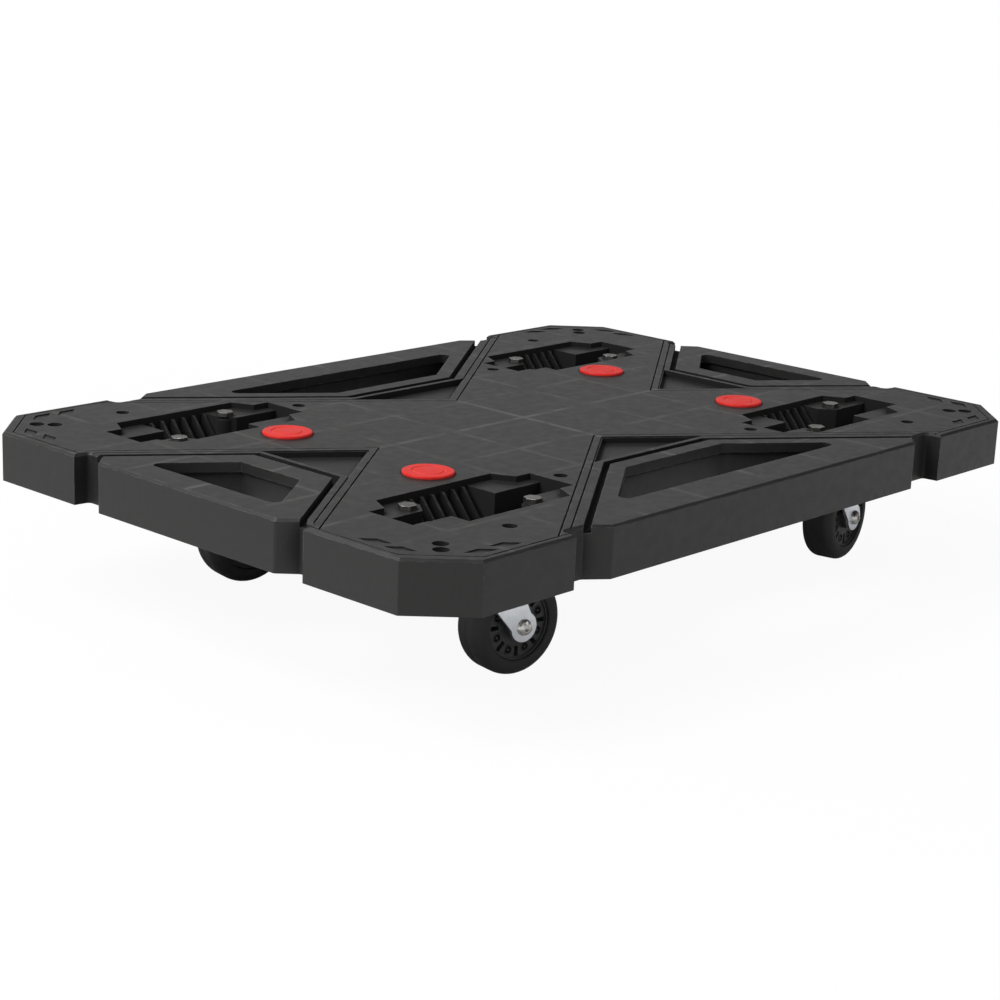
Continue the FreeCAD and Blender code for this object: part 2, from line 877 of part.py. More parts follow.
# Grip pads: soft discs pressed into the plate by a peg, with a ring moulded into the top
for number, signs in CORNERS.items():
    pad = new_body(f"grip_pad_{number}")
    ring_out = "pad_ring_radius + pad_ring_width / 2"
    ring_in = "pad_ring_radius - pad_ring_width / 2"
    revolve_up(
        pad,
        "disc",
        [
            ("0", "-pad_peg_length"),
            ("pad_peg_radius - 0.8", "-pad_peg_length"),
            ("pad_peg_radius", "-pad_peg_length + 0.8"),
            ("pad_peg_radius", "0"),
            ("pad_radius", "0"),
            ("pad_radius", "pad_height - pad_round"),
            ("pad_radius - pad_round * 0.3", "pad_height - pad_round * 0.3"),
            ("pad_radius - pad_round", "pad_height"),
            (ring_out, "pad_height"),
            ("pad_ring_radius + pad_ring_width / 4", "pad_height - pad_ring_depth"),
            ("pad_ring_radius - pad_ring_width / 4", "pad_height - pad_ring_depth"),
            (ring_in, "pad_height"),
            ("0", "pad_height"),
        ],
    )
    across, along = at_corner(signs, "pad_inset_u", "pad_inset_v")
    place(pad, across, along, "deck_height")
    keep(pad)

# Casters, one at each corner. Each piece is modelled about the king rivet's axis, with z = 0 at
# the plane where the caster's plate meets the deck.
MOUNT_LEVEL = "deck_height - nest_depth"
AXLE_DROP = f"({MOUNT_LEVEL} - wheel_radius)"
HEAD_TOP = "-(top_plate_thickness + swivel_gap)"
LEG_INNER = "fork_gap / 2"
BOLT_REACH = "sqrt(bolt_spread_u ^ 2 + bolt_spread_v ^ 2) / 2"


def top_plate(number, signs):
    """Pressed plate with two ears for the bolts and a turned-down rim that covers the balls."""
    body = new_body(f"caster_plate_{number}")
    pad_down(body, "disc", [], "0", "top_plate_thickness", [("0", "0", "top_plate_radius")])
    ears = [
        (f"{BOLT_REACH} + ear_half_width", "ear_half_width"),
        (f"-({BOLT_REACH} + ear_half_width)", "ear_half_width"),
        (f"-({BOLT_REACH} + ear_half_width)", "-ear_half_width"),
        (f"{BOLT_REACH} + ear_half_width", "-ear_half_width"),
    ]
    pad_down(body, "ears", [ears], "0", "top_plate_thickness")
    ease(body, "Fillet", "ear_rounding", "ear_half_width * 0.9", upright_at(spots(ears)))
    revolve_up(
        body,
        "race_cover",
        [
            ("race_cover_radius - race_cover_wall", "-top_plate_thickness / 2"),
            ("race_cover_radius", "-top_plate_thickness / 2"),
            ("race_cover_radius", "-top_plate_thickness - race_cover_drop"),
            ("race_cover_radius - race_cover_wall", "-top_plate_thickness - race_cover_drop"),
        ],
    )
    cut_down(
        body,
        "holes",
        [],
        "1",
        "top_plate_thickness + 2",
        [
            ("0", "0", "rivet_radius + slip_fit"),
            (BOLT_REACH, "0", "bolt_radius + bolt_clearance"),
            (f"-({BOLT_REACH})", "0", "bolt_radius + bolt_clearance"),
        ],
    )
    across, along = at_corner(signs, "caster_inset_u", "caster_inset_v")
    turn = f"{-signs[0] * signs[1]} * atan(bolt_spread_v / bolt_spread_u)"
    place(body, across, along, MOUNT_LEVEL, turn)
    return body


def ball_race(number, signs):
    """The ring of balls between plate and fork, as one ring of the balls' section."""
    body = new_body(f"ball_ring_{number}")
    sketch = new_sketch(body, "ring_sketch", "XZ_Plane", "0")
    circle(
        sketch,
        "ball_circle_radius",
        "-(top_plate_thickness + swivel_gap / 2)",
        "ball_radius",
    )
    feature = body.newObject("PartDesign::Revolution", "ring")
    feature.Profile = sketch
    feature.ReferenceAxis = (sketch, ["V_Axis"])
    feature.Angle = 360
    across, along = at_corner(signs, "caster_inset_u", "caster_inset_v")
    place(body, across, along, MOUNT_LEVEL)
    return body


def king_rivet(number, signs):
    """Rivet that holds the fork under the plate, with a formed head at each end."""
    body = new_body(f"king_rivet_{number}")
    low = f"{HEAD_TOP} - fork_sheet - side_clearance"
    revolve_up(
        body,
        "rivet",
        [
            ("0", "rivet_head_height"),
            ("rivet_head_radius * 0.6", "rivet_head_height"),
            ("rivet_head_radius", "rivet_head_height * 0.35"),
            ("rivet_head_radius", "0"),
            ("rivet_radius", "0"),
            ("rivet_radius", low),
            ("rivet_head_radius", low),
            ("rivet_head_radius", f"{low} - rivet_head_height * 0.65"),
            ("rivet_head_radius * 0.6", f"{low} - rivet_head_height"),
            ("0", f"{low} - rivet_head_height"),
        ],
    )
    across, along = at_corner(signs, "caster_inset_u", "caster_inset_v")
    place(body, across, along, MOUNT_LEVEL)
    return body


def fork(number, signs):
    """Pressed steel fork: a head under the ball race and two legs that taper to the axle's eyes."""
    body = new_body(f"fork_{number}")
    leg_outer = f"({LEG_INNER} + fork_sheet)"
    head = [
        ("fork_head_back", leg_outer),
        ("-fork_head_front * 0.7", leg_outer),
        ("-fork_head_front", f"{leg_outer} * 0.5"),
        ("-fork_head_front", f"-{leg_outer} * 0.5"),
        ("-fork_head_front * 0.7", f"-{leg_outer}"),
        ("fork_head_back", f"-{leg_outer}"),
    ]
    pad_down(body, "head", [head], HEAD_TOP, "fork_sheet")
    eye = ("caster_trail", f"-{AXLE_DROP}")
    leg = [
        ("-fork_head_front * 0.7", HEAD_TOP),
        ("fork_head_back", HEAD_TOP),
        ("caster_trail + fork_eye_radius * 0.85", f"-{AXLE_DROP} + fork_eye_radius * 0.2"),
        ("caster_trail - fork_eye_radius * 0.7", f"-{AXLE_DROP} - fork_eye_radius * 0.45"),
    ]
    for side, start in (("left", LEG_INNER), ("right", f"-({LEG_INNER} + fork_sheet)")):
        sketch = new_sketch(body, side + "_leg_sketch", "XZ_Plane", start)
        loop(sketch, leg)
        extrude(body, "Pad", side + "_leg", sketch, "fork_sheet", False)
        sketch = new_sketch(body, side + "_eye_sketch", "XZ_Plane", start)
        circle(sketch, *eye, "fork_eye_radius")
        extrude(body, "Pad", side + "_eye", sketch, "fork_sheet", False)
    cut_down(
        body,
        "rivet_hole",
        [],
        f"{HEAD_TOP} + 1",
        "fork_sheet + 2",
        [("0", "0", "rivet_radius + running_clearance")],
    )
    sketch = new_sketch(body, "axle_hole_sketch", "XZ_Plane", "fork_gap")
    circle(sketch, *eye, "axle_radius + slip_fit")
    extrude(body, "Pocket", "axle_hole", sketch, "2 * fork_gap", False)
    across, along = at_corner(signs, "caster_inset_u", "caster_inset_v")
    place(body, across, along, MOUNT_LEVEL, f"caster_heading_{number}")
    return body


def place_on_axle(body, number, signs):
    """Put a piece on the axle, behind the king rivet and turned with the fork."""
    across, along = at_corner(signs, "caster_inset_u", "caster_inset_v")
    heading = f"caster_heading_{number}"
    place(
        body,
        f"{across} + caster_trail * cos({heading})",
        f"{along} + caster_trail * sin({heading})",
        "wheel_radius",
        heading,
    )


GRIP_HALF = f"({LEG_INNER} + fork_sheet)"


def axle_bolt(number, signs):
    """Button-headed bolt through the fork's eyes, head on the side that faces -Y."""
    body = new_body(f"axle_bolt_{number}")
    end = f"{GRIP_HALF} + nut_height + thread_end"
    revolve(
        body,
        "bolt",
        [
            ("0", f"-{GRIP_HALF} - axle_head_height"),
            ("axle_head_radius * 0.5", f"-{GRIP_HALF} - axle_head_height"),
            ("axle_head_radius * 0.85", f"-{GRIP_HALF} - axle_head_height * 0.7"),
            ("axle_head_radius", f"-{GRIP_HALF} - axle_head_height * 0.2"),
            ("axle_head_radius", f"-{GRIP_HALF}"),
            ("axle_radius", f"-{GRIP_HALF}"),
            ("axle_radius", f"{end} - 0.6"),
            ("axle_radius - 0.6", end),
            ("0", end),
        ],
    )
    sketch = new_sketch(body, "socket_sketch", "XZ_Plane", f"{GRIP_HALF} + axle_head_height")
    loop(sketch, hexagon("axle_head_radius * 0.38"))
    extrude(body, "Pocket", "socket", sketch, "axle_head_height * 0.55", False)
    place_on_axle(body, number, signs)
    return body


def axle_nut(number, signs):
    """Lock nut on the axle bolt's end."""
    body = new_body(f"axle_nut_{number}")
    sketch = new_sketch(body, "nut_sketch", "XZ_Plane", f"-({GRIP_HALF} + nut_height)")
    loop(sketch, hexagon("hex_half_width"))
    circle(sketch, "0", "0", "axle_radius")
    extrude(body, "Pad", "nut", sketch, "nut_height", False)
    place_on_axle(body, number, signs)
    return body


def axle_sleeve(number, signs):
    """Steel tube clamped between the fork's legs, on which the wheel turns."""
    body = new_body(f"axle_sleeve_{number}")
    revolve(
        body,
        "tube",
        [
            ("axle_radius + slip_fit", f"-({LEG_INNER})"),
            ("sleeve_radius", f"-({LEG_INNER})"),
            ("sleeve_radius", LEG_INNER),
            ("axle_radius + slip_fit", LEG_INNER),
        ],
    )
    place_on_axle(body, number, signs)
    return body


def wheel_hub(number, signs):
    """Moulded wheel centre: barrel, web with radial slots, and the rim under the tyre."""
    body = new_body(f"wheel_hub_{number}")
    bore = "sleeve_radius + running_clearance"
    rim_half = "wheel_width / 2 - 1.5"
    right = [
        (bore, "hub_width / 2"),
        ("hub_barrel_radius - 0.8", "hub_width / 2"),
        ("hub_barrel_radius", "hub_width / 2 - 0.8"),
        ("hub_barrel_radius + 0.6", "web_thickness / 2"),
        ("rim_radius - rim_thickness - 0.4", "web_thickness / 2"),
        ("rim_radius - rim_thickness", f"{rim_half}"),
        ("rim_radius", f"{rim_half}"),
    ]
    left = [(radius, f"-({along})") for radius, along in reversed(right)]
    revolve(body, "wheel", right + left)
    sketch = new_sketch(body, "slot_sketch", "XZ_Plane", "web_thickness / 2 + 1")
    loop(
        sketch,
        [
            ("web_slot_inner", "-web_slot_width / 2"),
            ("web_slot_outer", "-web_slot_width / 2"),
            ("web_slot_outer", "web_slot_width / 2"),
            ("web_slot_inner", "web_slot_width / 2"),
        ],
    )
    first = extrude(body, "Pocket", "slot", sketch, "web_slot_depth + 1", False)
    sketch = new_sketch(body, "back_slot_sketch", "XZ_Plane", "-web_thickness / 2 - 1")
    loop(
        sketch,
        [
            ("web_slot_inner", "-web_slot_width / 2"),
            ("web_slot_outer", "-web_slot_width / 2"),
            ("web_slot_outer", "web_slot_width / 2"),
            ("web_slot_inner", "web_slot_width / 2"),
        ],
    )
    second = extrude(body, "Pocket", "back_slot", sketch, "web_slot_depth + 1", True)
    slots = body.newObject("PartDesign::PolarPattern", "slots")
    slots.Originals = [first, second]
    slots.Axis = (origin_plane(body, "Y_Axis"), [""])
    slots.Angle = 360
    bind(slots, "Occurrences", "web_slot_count")
    body.Tip = slots
    place_on_axle(body, number, signs)
    return body


def tyre(number, signs):
    """Rubber tyre moulded round the rim, with a rounded tread."""
    body = new_body(f"tyre_{number}")
    half = "wheel_width / 2"
    revolve(
        body,
        "tyre",
        [
            ("rim_radius", f"-({half}) + 0.6"),
            ("rim_radius + 0.6", f"-({half})"),
            ("wheel_radius - tread_corner", f"-({half})"),
            ("wheel_radius - tread_corner * 0.3", f"-({half}) + tread_corner * 0.3"),
            ("wheel_radius", f"-({half}) + tread_corner"),
            ("wheel_radius", f"{half} - tread_corner"),
            ("wheel_radius - tread_corner * 0.3", f"{half} - tread_corner * 0.3"),
            ("wheel_radius - tread_corner", half),
            ("rim_radius + 0.6", half),
            ("rim_radius", f"{half} - 0.6"),
        ],
    )
    place_on_axle(body, number, signs)
    return body


MAKERS = (
    top_plate,
    ball_race,
    king_rivet,
    fork,
    axle_bolt,
    axle_nut,
    axle_sleeve,
    wheel_hub,
    tyre,
)
for number, signs in CORNERS.items():
    for make in MAKERS:
        keep(make(number, signs))

# Mounting fasteners: a bolt from each ledge of the nests down through the caster's plate
BOLT_TOP = "deck_height - ledge_depth"
PLATE_UNDER = f"{MOUNT_LEVEL} - top_plate_thickness"
BOLT_LENGTH = f"({BOLT_TOP} - ({PLATE_UNDER}) + washer_thickness + nut_height + thread_end)"


def hex_prism(label, half_width, height):
    prism = doc.addObject("Part::Prism", label)
    prism.Polygon = 6
    bind(prism, "Circumradius", f"({half_width}) / cos(30)")
    bind(prism, "Height", height)
    return prism


def cylinder(label, radius, height):
    solid = doc.addObject("Part::Cylinder", label)
    bind(solid, "Radius", radius)
    bind(solid, "Height", height)
    return solid


def join(kind, label, base, tool):
    result = doc.addObject("Part::" + kind, label)
    result.Label = label
    result.Base = base
    result.Tool = tool
    return result


groups = {"mounting_bolts": [], "mounting_nuts": [], "mounting_washers": []}
for number, signs in CORNERS.items():
    for side, (inset_u, inset_v) in enumerate(boss_places, start=1):
        tag = f"{number}_{side}"
        across, along = at_corner(signs, inset_u, inset_v)
        head = hex_prism("bolt_head_" + tag, "hex_half_width", "hex_head_height")
        place(head, across, along, BOLT_TOP)
        shank = cylinder("bolt_shank_" + tag, "bolt_radius", f"{BOLT_LENGTH} + hex_head_height / 2")
        place(shank, across, along, f"{BOLT_TOP} - {BOLT_LENGTH}")
        groups["mounting_bolts"].append(join("Fuse", "bolt_" + tag, head, shank))
        outside = cylinder("washer_disc_" + tag, "washer_radius", "washer_thickness")
        place(outside, across, along, f"{PLATE_UNDER} - washer_thickness")
        inside = cylinder("washer_hole_" + tag, "bolt_radius + slip_fit", "washer_thickness + 2")
        place(inside, across, along, f"{PLATE_UNDER} - washer_thickness - 1")
        groups["mounting_washers"].append(join("Cut", "washer_" + tag, outside, inside))
        blank = hex_prism("nut_blank_" + tag, "hex_half_width", "nut_height")
        place(blank, across, along, f"{PLATE_UNDER} - washer_thickness - nut_height")
        thread = cylinder("nut_hole_" + tag, "bolt_radius", "nut_height + 2")
        place(thread, across, along, f"{PLATE_UNDER} - washer_thickness - nut_height - 1")
        groups["mounting_nuts"].append(join("Cut", "nut_" + tag, blank, thread))
for label, members in groups.items():
    group = doc.addObject("Part::Compound", label)
    group.Label = label
    group.Links = members
    keep(group)

doc.recompute()
for thing in doc.Objects:
    if "Invalid" in thing.State or "Error" in thing.State:
        raise RuntimeError(f"{thing.Label}: {thing.State}")
os.makedirs("parts", exist_ok=True)
for label, thing in parts.items():
    if thing.Shape.isNull() or not thing.Shape.isValid():
        raise RuntimeError(f"{label} is not a valid shape")
for label, thing in parts.items():
    thing.Shape.exportStep(f"parts/{label}.step")
    print(label, len(thing.Shape.Solids), round(thing.Shape.Volume, 1))
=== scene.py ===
import json
import math

import bmesh
import bpy
from mathutils import Matrix, Vector


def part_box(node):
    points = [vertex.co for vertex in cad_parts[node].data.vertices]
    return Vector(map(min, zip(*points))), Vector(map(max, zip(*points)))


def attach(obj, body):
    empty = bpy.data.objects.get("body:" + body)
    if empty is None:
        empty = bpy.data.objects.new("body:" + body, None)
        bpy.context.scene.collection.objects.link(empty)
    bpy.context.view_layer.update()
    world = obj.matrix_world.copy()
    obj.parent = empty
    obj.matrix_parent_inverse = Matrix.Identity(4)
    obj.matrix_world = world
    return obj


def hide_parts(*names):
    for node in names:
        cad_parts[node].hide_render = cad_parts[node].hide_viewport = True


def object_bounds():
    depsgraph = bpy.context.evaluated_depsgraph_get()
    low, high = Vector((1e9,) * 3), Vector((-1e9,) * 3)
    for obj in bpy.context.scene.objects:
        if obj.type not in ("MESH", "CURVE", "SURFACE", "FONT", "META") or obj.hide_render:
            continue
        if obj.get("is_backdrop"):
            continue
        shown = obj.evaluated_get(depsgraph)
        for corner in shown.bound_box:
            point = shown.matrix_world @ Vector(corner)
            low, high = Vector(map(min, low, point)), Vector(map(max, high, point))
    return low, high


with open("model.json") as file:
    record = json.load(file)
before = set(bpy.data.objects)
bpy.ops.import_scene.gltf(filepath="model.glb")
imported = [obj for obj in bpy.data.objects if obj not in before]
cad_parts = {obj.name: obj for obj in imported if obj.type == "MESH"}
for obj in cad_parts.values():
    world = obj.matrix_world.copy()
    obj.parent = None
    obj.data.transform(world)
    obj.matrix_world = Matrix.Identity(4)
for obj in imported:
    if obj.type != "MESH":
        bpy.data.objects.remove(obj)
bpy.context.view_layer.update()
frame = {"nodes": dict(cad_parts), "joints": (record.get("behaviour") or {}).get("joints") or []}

# The deck is one injection moulding in black polypropylene, spark-eroded to a fine grain on
# top. Ribs under the plate show through as faint sink lines, and its edges are slightly worn.
CORNERS = range(1, 5)
RIB_PITCH_LONG = 0.058
RIB_PITCH_SHORT = 0.052
RIB_SINK = (0.0008, 0.0026)
CENTRE_SINK = (0.0010, 0.0030)
CLEAR_OF_CENTRE = (0.02, 0.03)
DECK_HALF_LENGTH, DECK_HALF_WIDTH, DECK_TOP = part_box("deck")[1]


def put(tree, kind, feeds=(), **settings):
    """Add a shader node. Feeds are values or links for its sockets, settings its options."""
    made = tree.nodes.new("ShaderNode" + kind)
    for option, choice in settings.items():
        setattr(made, option, choice)
    for socket, feed in dict(feeds).items():
        if isinstance(feed, bpy.types.NodeSocket):
            tree.links.new(feed, made.inputs[socket])
        else:
            made.inputs[socket].default_value = feed
    return made


def figure(tree, operation, *terms):
    """One Math node's result."""
    return put(tree, "Math", enumerate(terms), operation=operation).outputs[0]


def ease(tree, amount, low, high, start=0.0, stop=1.0):
    """A smooth change from start to stop while the amount goes from low to high."""
    feeds = {
        "Value": amount,
        "From Min": low,
        "From Max": high,
        "To Min": start,
        "To Max": stop,
    }
    return put(tree, "MapRange", feeds, interpolation_type="SMOOTHSTEP").outputs["Result"]


def blend(tree, share, first, second):
    """A colour between two, each a colour or a link."""
    node = put(tree, "Mix", data_type="RGBA")
    for index, feed in ((0, share), (6, first), (7, second)):
        if isinstance(feed, bpy.types.NodeSocket):
            tree.links.new(feed, node.inputs[index])
        else:
            node.inputs[index].default_value = feed
    return node.outputs[2]


def noise(tree, place, scale, detail=3.0, roughness=0.55):
    feeds = {"Vector": place, "Scale": scale, "Detail": detail, "Roughness": roughness}
    return put(tree, "TexNoise", feeds).outputs["Fac"]


def tone(level, warm=0.0):
    """A grey written as it is seen on a screen, from 0 to 255, a little warm or cool."""
    def linear(shade):
        shade = max(0.0, min(255.0, shade)) / 255
        return shade / 12.92 if shade <= 0.04045 else ((shade + 0.055) / 1.055) ** 2.4

    return (linear(level + warm), linear(level), linear(level - warm), 1.0)


def effect(name, inputs, outputs):
    """An empty node group, with its input and output nodes."""
    group = bpy.data.node_groups.new(name, "ShaderNodeTree")
    for socket, default in inputs.items():
        made = group.interface.new_socket(
            name=socket, in_out="INPUT", socket_type="NodeSocketFloat"
        )
        made.default_value = default
    for socket, kind in outputs.items():
        group.interface.new_socket(
            name=socket, in_out="OUTPUT", socket_type="NodeSocket" + kind
        )
    return group, group.nodes.new("NodeGroupInput"), group.nodes.new("NodeGroupOutput")


# Worn edges: where a rounded edge turns away from its faces, broken up by noise
edge_wear, into, out = effect("worn_edges", {"Radius": 0.001, "Breaks": 90.0}, {"Mask": "Float"})
place = put(edge_wear, "NewGeometry")
rounded = put(edge_wear, "Bevel", {"Radius": into.outputs["Radius"]}, samples=6)
turn = put(
    edge_wear,
    "VectorMath",
    {0: rounded.outputs["Normal"], 1: place.outputs["Normal"]},
    operation="DOT_PRODUCT",
)
corner = ease(edge_wear, turn.outputs["Value"], 0.995, 0.90)
breaks = noise(edge_wear, place.outputs["Position"], into.outputs["Breaks"])
broken = ease(edge_wear, breaks, 0.42, 0.62)
edge_wear.links.new(figure(edge_wear, "MULTIPLY", corner, broken), out.inputs["Mask"])

# Moulded grain: fine spark-eroded texture with a slower mottle, and the mottle as a mask
grain, into, out = effect(
    "moulded_grain", {"Scale": 1400.0, "Mottle": 16.0}, {"Height": "Float", "Mottle": "Float"}
)
place = put(grain, "TexCoord").outputs["Object"]
fine = noise(grain, place, into.outputs["Scale"], 2.0, 0.7)
slow = noise(grain, place, into.outputs["Mottle"], 5.0, 0.6)
grain.links.new(fine, out.inputs["Height"])
grain.links.new(ease(grain, slow, 0.3, 0.7), out.inputs["Mottle"])

# Dust: a thin pale film that lies in patches on faces that look up
dust, into, out = effect("settled_dust", {"Amount": 0.3}, {"Mask": "Float"})
place = put(dust, "NewGeometry")
upward = put(dust, "SeparateXYZ", {0: place.outputs["Normal"]}).outputs["Z"]
patches = noise(dust, place.outputs["Position"], 22.0, 6.0, 0.65)
film = figure(dust, "MULTIPLY", ease(dust, upward, 0.6, 0.98), ease(dust, patches, 0.35, 0.8))
dust.links.new(figure(dust, "MULTIPLY", film, into.outputs["Amount"]), out.inputs["Mask"])


def use(tree, group, **values):
    """Place an effect with its own values, and give its outputs."""
    node = tree.nodes.new("ShaderNodeGroup")
    node.node_tree = group
    for socket, number in values.items():
        node.inputs[socket].default_value = number
    return node.outputs


def new_material(name, metallic=0.0, specular=0.5, sheen=0.0):
    """A material with an empty tree but for its shader."""
    material = bpy.data.materials.new(name)
    material.use_nodes = True
    tree = material.node_tree
    shader = tree.nodes["Principled BSDF"]
    shader.inputs["Metallic"].default_value = metallic
    shader.inputs["Specular IOR Level"].default_value = specular
    shader.inputs["Sheen Weight"].default_value = sheen
    return material, tree, shader


def relief(tree, shader, height, strength, distance, edge_radius):
    """A normal from a height over softly rounded edges."""
    rounded = put(tree, "Bevel", {"Radius": edge_radius}, samples=6).outputs["Normal"]
    feeds = {"Strength": strength, "Distance": distance, "Height": height, "Normal": rounded}
    bump = put(tree, "Bump", feeds)
    tree.links.new(bump.outputs["Normal"], shader.inputs["Normal"])


def dress(nodes, material):
    """Give CAD nodes their finish."""
    for name in nodes:
        mesh = frame["nodes"][name].data
        mesh.materials.clear()
        mesh.materials.append(material)


deck_plastic, tree, shader = new_material("moulded_black_polypropylene", specular=0.45)
place = put(tree, "NewGeometry")
spot = put(tree, "SeparateXYZ", {0: place.outputs["Position"]})
surface = use(tree, grain, Scale=1500.0, Mottle=130.0)
sinks = None
for axis, half, pitch in (
    ("X", DECK_HALF_LENGTH, RIB_PITCH_LONG),
    ("Y", DECK_HALF_WIDTH, RIB_PITCH_SHORT),
):
    reach = figure(tree, "ABSOLUTE", spot.outputs[axis])
    off_rib = figure(tree, "PINGPONG", figure(tree, "SUBTRACT", half, reach), pitch / 2)
    line = ease(tree, off_rib, *RIB_SINK, 0.6, 0.0)
    line = figure(tree, "MULTIPLY", line, ease(tree, reach, *CLEAR_OF_CENTRE))
    line = figure(tree, "MAXIMUM", line, ease(tree, reach, *CENTRE_SINK, 1.0, 0.0))
    sinks = line if sinks is None else figure(tree, "MAXIMUM", sinks, line)
level = ease(tree, spot.outputs["Z"], DECK_TOP - 0.0004, DECK_TOP - 0.0001)
patchy = ease(tree, noise(tree, place.outputs["Position"], 30.0), 0.35, 0.6)
sinks = figure(tree, "MULTIPLY", figure(tree, "MULTIPLY", sinks, level), patchy)
worn = use(tree, edge_wear, Radius=0.0008, Breaks=120.0)["Mask"]
dusty = use(tree, dust, Amount=0.10)["Mask"]
stretch = {"Vector": place.outputs["Position"], "Scale": (8.0, 90.0, 8.0)}
streaks = noise(tree, put(tree, "Mapping", stretch).outputs[0], 14.0, 5.0, 0.7)
streaks = ease(tree, streaks, 0.45, 0.75)
colour = blend(tree, surface["Mottle"], tone(19, 0.6), tone(25, 0.6))
colour = blend(tree, figure(tree, "MULTIPLY", streaks, 0.28), colour, tone(40, 1.0))
colour = blend(tree, figure(tree, "MULTIPLY", sinks, 0.85), colour, tone(72, 1.0))
colour = blend(tree, dusty, colour, tone(66, 1.5))
colour = blend(tree, figure(tree, "MULTIPLY", worn, 0.7), colour, tone(108))

# Painted shade: wells and grooves that see little sky are painted nearly black by an occlusion
# mask, and made rougher so that they have no sheen
open_sky = put(tree, "AmbientOcclusion", {"Distance": 0.05}, samples=8).outputs["AO"]
painted_hollow_shade = ease(tree, open_sky, 0.62, 0.96, 1.0, 0.0)
colour = blend(tree, figure(tree, "MULTIPLY", painted_hollow_shade, 0.92), colour, tone(4))
tree.links.new(colour, shader.inputs["Base Color"])
satin = ease(tree, surface["Mottle"], 0.0, 1.0, 0.46, 0.52)
satin = figure(tree, "MAXIMUM", satin, ease(tree, painted_hollow_shade, 0.2, 0.9, 0.46, 0.95))
tree.links.new(satin, shader.inputs["Roughness"])
relief(tree, shader, surface["Height"], 0.35, 0.0002, 0.0006)
dress(["deck"], deck_plastic)

# Four soft discs of red rubber are pressed into the plate, so that a load doesn't slide. A
# plain raised ring is moulded into each.
pad_rubber, tree, shader = new_material("red_grip_rubber", specular=0.2)
place = put(tree, "NewGeometry")
surface = use(tree, grain, Scale=2200.0, Mottle=60.0)
dusty = use(tree, dust, Amount=0.06)["Mask"]
worn = use(tree, edge_wear, Radius=0.0008, Breaks=260.0)["Mask"]
red = blend(tree, surface["Mottle"], (0.66, 0.020, 0.016, 1.0), (0.74, 0.028, 0.022, 1.0))
red = blend(tree, dusty, red, (0.60, 0.16, 0.13, 1.0))
red = blend(tree, figure(tree, "MULTIPLY", worn, 0.5), red, (0.80, 0.16, 0.13, 1.0))
tree.links.new(red, shader.inputs["Base Color"])
tree.links.new(ease(tree, surface["Mottle"], 0.0, 1.0, 0.42, 0.55), shader.inputs["Roughness"])
relief(tree, shader, surface["Height"], 0.3, 0.00015, 0.0005)
dress([f"grip_pad_{number}" for number in CORNERS], pad_rubber)

# Zinc-plated steel: the mounting bolts with their nuts and washers, and each caster's plate,
# ball race, king rivet, fork and axle.


def zinc(name, pale, dark, roughness, grain_scale):
    """Bright zinc plate, with its cloudy crystals and a fine grain."""
    material, tree, shader = new_material(name, metallic=1.0)
    place = put(tree, "TexCoord").outputs["Object"]
    surface = use(tree, grain, Scale=grain_scale, Mottle=70.0)
    spangle = put(tree, "TexVoronoi", {"Vector": place, "Scale": 420.0}).outputs["Color"]
    crystal = put(tree, "SeparateXYZ", {0: spangle}).outputs["X"]
    worn = use(tree, edge_wear, Radius=0.0005, Breaks=300.0)["Mask"]
    colour = blend(tree, surface["Mottle"], pale, dark)
    colour = blend(tree, figure(tree, "MULTIPLY", crystal, 0.25), colour, dark)
    colour = blend(tree, figure(tree, "MULTIPLY", worn, 0.5), colour, (0.9, 0.91, 0.93, 1.0))
    tree.links.new(colour, shader.inputs["Base Color"])
    tree.links.new(
        ease(tree, crystal, 0.0, 1.0, roughness, roughness + 0.12), shader.inputs["Roughness"]
    )
    relief(tree, shader, surface["Height"], 0.12, 0.0001, 0.0004)
    return material


fork_zinc = zinc("zinc_plated_sheet", (0.91, 0.93, 0.96, 1), (0.78, 0.81, 0.85, 1), 0.34, 900.0)
bolt_zinc = zinc("zinc_plated_bolt", (0.86, 0.85, 0.81, 1), (0.64, 0.63, 0.60, 1), 0.26, 1600.0)
# The mounting bolts, nuts and washers get a dark copy of the same zinc: painted shade for their
# low place in the nests
painted_shade_zinc = zinc("zinc_plated_head_painted_shade", (0.24, 0.23, 0.22, 1), (0.14, 0.14, 0.13, 1), 0.32, 1600.0)
dress(["mounting_bolts", "mounting_nuts", "mounting_washers"], painted_shade_zinc)
for number in CORNERS:
    dress([f"caster_plate_{number}", f"fork_{number}"], fork_zinc)
    small = ("ball_ring", "king_rivet", "axle_bolt", "axle_nut", "axle_sleeve")
    dress([f"{piece}_{number}" for piece in small], bolt_zinc)

# The wheels: a black plastic centre with radial slots and small round sockets moulded into
# both faces of its web, and a rubber tyre moulded round the rim. Both turn on the axle.
WHEEL_AXES = {
    int(joint["name"][-1]): joint["axis"]
    for joint in frame["joints"]
    if joint["name"].startswith("wheel_spin_")
}
HUB_SPOKES = 8
WEB_HALF = 0.0090
RECESS_DEPTH = 0.005
SLOT_INNER, SLOT_OUTER, SLOT_HALF = 0.0142, 0.0205, 0.0012
SOCKET_CIRCLE, SOCKET_RADIUS, SOCKET_PIN = 0.0166, 0.0022, 0.0010
SOCKET_LIP = 0.0029
RIM_INNER, RIM_OUTER = 0.0212, 0.0225
RIM_HALF = 0.0105
BARREL_RADIUS, BARREL_HALF, BORE = 0.0088, 0.0130, 0.00496
TURN_STEPS = 320
TYRE_STEPS = 128
SHARP_ANGLE = math.radians(35)


